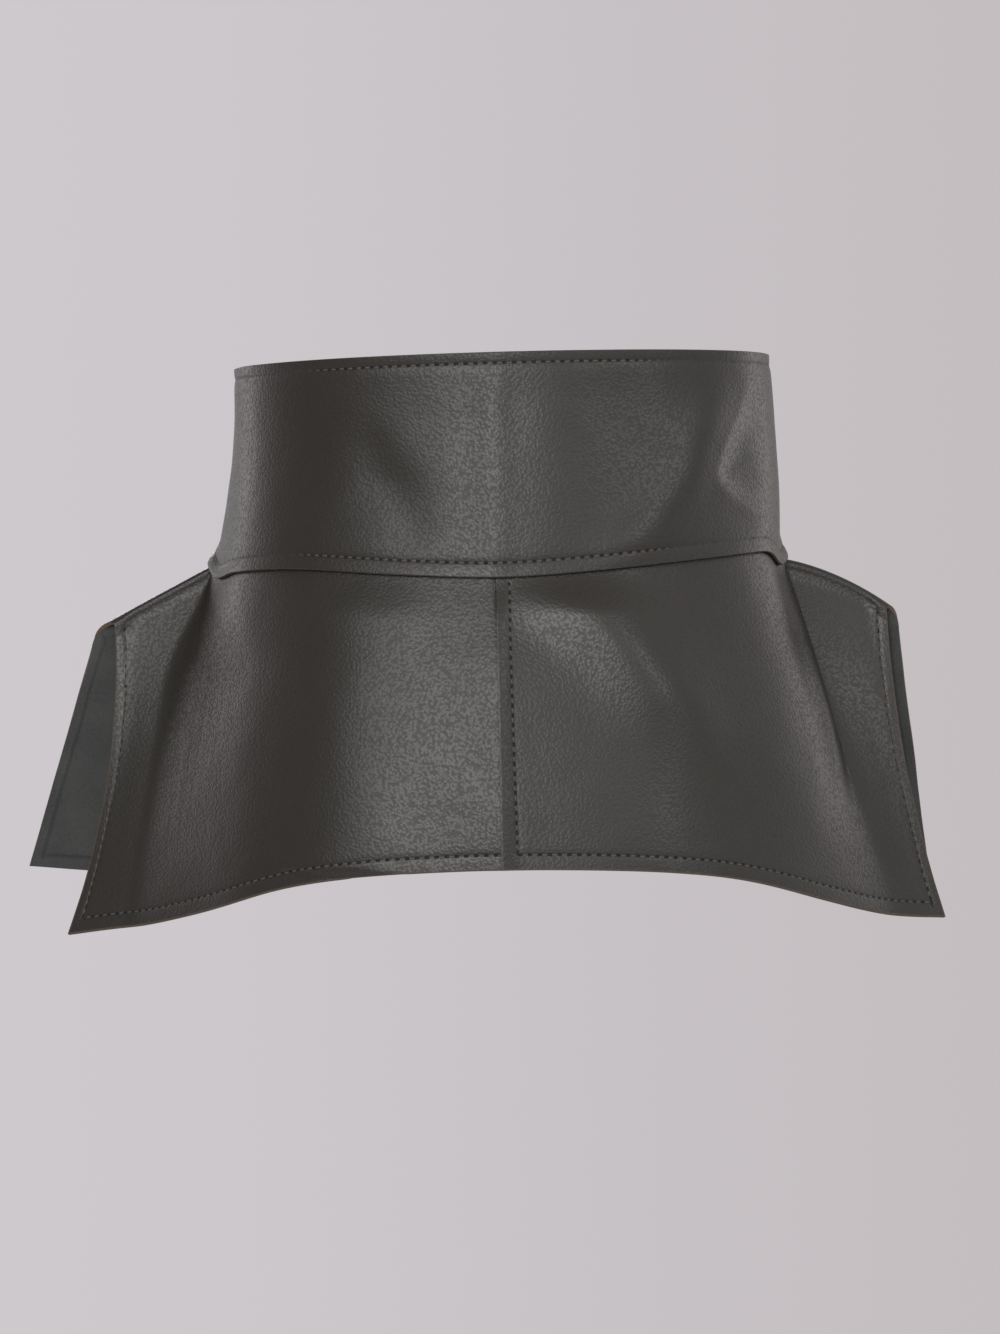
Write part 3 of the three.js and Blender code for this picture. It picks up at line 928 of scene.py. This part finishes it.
# the stitch rows of one face, and its hem, wing and centre edges
def faceSeams(s, face, start):
    downs = np.linspace(0, 1, 300)
    ones = np.ones(300)
    hem = np.linspace(start, 2, 900)
    hemDown = 1 - peplum["hemStitch"] / fallLength(s, hem, face)
    width = mix(s["ridgeReach"], faceOf(s, face)["wing"], downs)
    hemEdge = placedOn(s, facePoint(s, hem, face, np.ones(900)))
    hemStitches = placedOn(s, facePoint(s, hem, face, hemDown))
    wingEdge = placedOn(s, facePoint(s, 2 * ones, face, downs))
    wingStitches = placedOn(s, facePoint(s, 2 - peplum["wingStitch"] / width, face, downs))
    startEdge = placedOn(s, facePoint(s, start * ones, face, downs))
    seams = [
        {"stitches": hemStitches[8:-22], "edge": hemEdge, "offset": peplum["hemStitch"]},
        {"stitches": wingStitches[8:-14], "edge": wingEdge, "offset": peplum["wingStitch"]},
    ]
    if s["sign"] > 0:
        offset = mix(*peplum["centreStitch"], downs)
        across = np.linalg.norm(facePoint(s, 0.03 * ones, face, downs)
                                - facePoint(s, 0 * ones, face, downs), axis=-1) / 0.03
        centre = placedOn(s, facePoint(s, start + offset / across, face, downs))
        seams.append({"stitches": centre[6:-14], "edge": startEdge, "offset": offset,
                      "slant": peplum["centreSlant"]})
    shares = np.linspace(0.02, 0.86, 200)
    crest = placedOn(s, foldPoint(s, shares, 0.0))
    pinchDown = (peplum["ridgeStitch"] - peplum["ridgeWrap"]) / fallLength(s, 1 + shares, face)
    pinch = placedOn(s, facePoint(s, 1 + shares, face, pinchDown))
    seams.append({"stitches": pinch, "edge": crest, "offset": peplum["ridgeStitch"],
                  "isQuiet": True, "raised": peplum["ridgeRaise"]})
    return seams, [hemEdge, wingEdge, startEdge]


# one face of the skirt, and the part of it that reaches up behind the band
def facePatches(piece, s, face, start, waist, wings):
    column = np.concatenate([waist, 1 + wings[1:]])
    nearTop = [0, 0.7, 1.4, 1.9, 2.4, 2.9, 3.5, 4.5, 6]
    rows = edgedRows(fallLength(s, column, face), nearTop, stitchedEdge(peplum["hemStitch"]), 1.8)
    grid = np.broadcast_to(column[:, None], rows.shape)
    points = placedOn(s, facePoint(s, grid, face, rows))
    seams, edges = faceSeams(s, face, start)
    wanted = np.array([0, face, 0])
    skirt = finishPatch(piece, points, wanted, seams, edges, pull=peplum["pull"], cuts=edges[:2])
    above = waistPoint(s, waist, face, np.full(len(waist), lapDown))
    above[:, 1] -= face * tuck(s, above[:, 0], face, 0)
    waistTop = facePoint(s, waist, face, np.zeros(len(waist)))
    lap = placedOn(s, mix(above[:, None], waistTop[:, None], lapRows))
    return [skirt, finishPatch(piece, lap, wanted, [], edges)], measured(edges[0])[-1]


def makeSkirtSide(name):
    s = sides[name]
    sign = s["sign"]
    s["root"] = bandInside(np.array(sign * 90.0), np.array(1.0), inset)
    piece = f"peplum_{name}"
    overlap = peplum["backLap"] * s["lapShare"]
    starts = {-1: -2 * overlap / band["width"] / math.radians(90), 1: -lapAngle / 90}
    patches = []
    lengths = []
    for face, start in starts.items():
        waist, wings = faceColumns(s, face, start)
        made, length = facePatches(piece, s, face, start, waist, wings)
        patches += made
        lengths.append(length)
    # the fold over the hip, with the columns of the front face
    turns = np.linspace(-90, 90, 15)
    ridgeEnd = placedOn(s, foldPoint(s, 1.0, np.linspace(-90, 90, 60)))
    wingGrid, turnGrid = np.meshgrid(wings, turns, indexing="ij")
    fold = placedOn(s, foldPoint(s, wingGrid, turnGrid))
    patches.append(finishPatch(piece, fold, np.array([0, 0, 1]), [], [ridgeEnd]))
    rootAngle = mix(90 - foldAngle, 90 + foldAngle, (1 + np.sin(np.radians(turns))) / 2)
    above = bandInside(sign * rootAngle, np.full(len(turns), lapDown), inset)
    above[:, 0] *= sign
    root = foldPoint(s, np.zeros(len(turns)), turns)
    rootLap = placedOn(s, mix(above[:, None], root[:, None], lapRows))
    patches.append(finishPatch(piece, rootLap, np.array([sign, 0, 0]), [], [ridgeEnd]))
    sheet = sheetOf(f"{piece}_leather", patches)
    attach(sheet, "root")
    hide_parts(piece)
    print(piece + ":", len(sheet.data.polygons), "faces, hem", [round(v) for v in lengths], "mm")
    return sheet


leftPiece = makeSkirtSide("left")
rightPiece = makeSkirtSide("right")
closurePiece = makeClosure()
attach(closurePiece, "root")
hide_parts("closure_strip")
print("closure_tape:", len(closurePiece.data.polygons), "faces")


# the stitches: one is modelled, and copied along every row

def makeStitch():
    bpy.ops.object.select_all(action="DESELECT")
    half = stitch["length"] / 2 * mm
    bpy.ops.mesh.primitive_cylinder_add(vertices=8, radius=stitch["thick"] / 2 * mm,
                                        depth=stitch["length"] * mm, rotation=(0, math.pi / 2, 0))
    piece = bpy.context.object
    bpy.ops.object.transform_apply(location=True, rotation=True, scale=True)
    applied(piece, "BEVEL", width=stitch["thick"] * stitch["rounded"] * mm, segments=2,
            limit_method="ANGLE", angle_limit=math.radians(60))
    only(piece)
    bpy.ops.object.mode_set(mode="EDIT")
    for place in (-0.4, 0, 0.4):
        bpy.ops.mesh.select_all(action="SELECT")
        bpy.ops.mesh.bisect(plane_co=(place * stitch["length"] * mm, 0, 0), plane_no=(1, 0, 0))
    bpy.ops.object.mode_set(mode="OBJECT")
    for v in piece.data.vertices:
        v.co.z -= stitch["droop"] * mm * (v.co.x / half) ** 2
    bpy.ops.object.shade_smooth()
    return piece


def sew(name, places):
    model = makeStitch()
    model.data.materials.append(threadFinish)
    copies = []
    rng = np.random.default_rng(11)
    for place, way, normal, slant in places:
        normal = unit(normal)
        way = unit(way - normal * np.dot(way, normal))
        turned = math.radians(slant + rng.normal(0, stitch["slantSpread"]))
        side = np.cross(normal, way)
        way = way * math.cos(turned) + side * math.sin(turned)
        side = np.cross(normal, way)
        at = (place + normal * (stitch["thick"] * stitch["standing"] - stitch["sunk"])) * mm
        matrix = Matrix(((way[0], side[0], normal[0], at[0]), (way[1], side[1], normal[1], at[1]),
                         (way[2], side[2], normal[2], at[2]), (0, 0, 0, 1)))
        copy = bpy.data.objects.new(name, model.data.copy())
        copy.data.transform(matrix)
        bpy.context.scene.collection.objects.link(copy)
        copies.append(copy)
    thread = joined(name, copies)
    bpy.data.objects.remove(model)
    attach(thread, "root")
    return thread


for pieceName, places in stitchPlaces.items():
    sew(pieceName + "_stitches", places)
    print(pieceName, "stitches:", len(places))


# flat sizes of the sheets, and the share of that rectangle which each covers
flats = {
    "waistband": {"size": (745, 108), "area": 0.93},
    "peplum_left": {"size": (475, 165), "area": 0.885},
    "peplum_right": {"size": (460, 165), "area": 0.895},
}
for piece, key in ((bandPiece, "waistband"), (leftPiece, "peplum_left"), (rightPiece, "peplum_right")):
    width, length = (v * mm for v in flats[key]["size"])
    width * length * flats[key]["area"]


# the stage, the light and the camera

stage = {
    "floor": -1.0,      # metres
    "radius": 3.8,
    "paper": (0.70, 0.695, 0.715, 1),
    "backdropLeft": (0.62, 0.592, 0.615, 1),
    "backdropRight": (0.545, 0.508, 0.525, 1),
    "roomLeft": (0.22, 0.22, 0.22, 1),
    "roomRight": (0.60, 0.60, 0.60, 1),
}


def makeFloor():
    bpy.ops.object.select_all(action="DESELECT")
    bpy.ops.mesh.primitive_circle_add(vertices=96, radius=stage["radius"], fill_type="NGON",
                                      location=(0, 0, stage["floor"]))
    floor = bpy.context.object
    floor.name = "floor"
    bpy.ops.object.transform_apply(location=True, rotation=True, scale=True)
    bpy.ops.object.mode_set(mode="EDIT")
    bpy.ops.mesh.select_all(action="SELECT")
    bpy.ops.mesh.inset(thickness=0.4)
    bpy.ops.object.mode_set(mode="OBJECT")
    material, desk = newFinish("pale_paper")
    desk.finish(desk.add("ShaderNodeBsdfDiffuse", Color=stage["paper"]))
    floor.data.materials.append(material)


def softbox(name, place, size, power, aim=(0, 0, -0.07), colour=(1, 1, 1)):
    light = bpy.data.lights.new(name, "AREA")
    light.shape = "RECTANGLE"
    light.size, light.size_y = size
    light.energy = power
    light.color = colour
    lamp = bpy.data.objects.new(name, light)
    lamp.location = place
    lamp.rotation_euler = (Vector(aim) - Vector(place)).to_track_quat("-Z", "Y").to_euler()
    lamp.visible_camera = False
    bpy.context.scene.collection.objects.link(lamp)
    return lamp


# a pale paper wall behind the belt, and a duller room on its other sides
def lightRoom():
    world = bpy.data.worlds.new("room")
    world.use_nodes = True
    desk = Desk(world.node_tree)
    away = desk.add("ShaderNodeSeparateXYZ", None, 1, Vector=desk.add("ShaderNodeTexCoord"))
    across = Wire(desk, away.socket.node.outputs[0])
    room = desk.blend(desk.step(across, -0.3, 0.6), stage["roomLeft"], stage["roomRight"])
    paper = desk.blend(desk.step(across, -0.13, 0.13), stage["backdropLeft"], stage["backdropRight"])
    wall = desk.blend(desk.step(away, 0.25, 0.7), room, paper)
    light = desk.add("ShaderNodeBackground", Color=wall, Strength=1.0)
    output = world.node_tree.nodes.new("ShaderNodeOutputWorld")
    world.node_tree.links.new(light.socket, output.inputs["Surface"])
    bpy.context.scene.world = world


makeFloor()
lightRoom()
softbox("key", (-0.15, -2.1, 0.56), (0.7, 0.85), 12.5)
softbox("wide", (-0.8, -1.96, 0.98), (1.6, 1.05), 15.5)
softbox("fill", (1.45, -1.63, 0.9), (0.55, 0.6), 5.5)
softbox("front", (-0.7, 2.3, 0.9), (1.0, 0.8), 12)
softbox("rimLeft", (-2.3, 1.5, 0.15), (0.9, 1.8), 11.5, colour=(1, 0.955, 0.94))
softbox("rimRight", (2.3, 1.5, 0.15), (0.9, 1.8), 9, colour=(1, 0.955, 0.94))
bpy.context.scene.view_settings.view_transform = "Standard"
print("stage and light set")

# metres, degrees, and millimetres for the sensor
view = {"eye": (0, -2.5, -0.0869), "roll": -1.1, "frame": 0.5936, "sensor": 36}
camera = bpy.data.cameras.new("camera")
camera.sensor_width = view["sensor"]
camera.lens = view["sensor"] * abs(view["eye"][1]) / view["frame"]
camera.clip_end = 100
eye = bpy.data.objects.new("camera", camera)
eye.matrix_world = (Matrix.Translation(view["eye"]) @ Matrix.Rotation(math.pi / 2, 4, "X")
                    @ Matrix.Rotation(math.radians(view["roll"]), 4, "Z"))
bpy.context.scene.collection.objects.link(eye)
bpy.context.scene.camera = eye
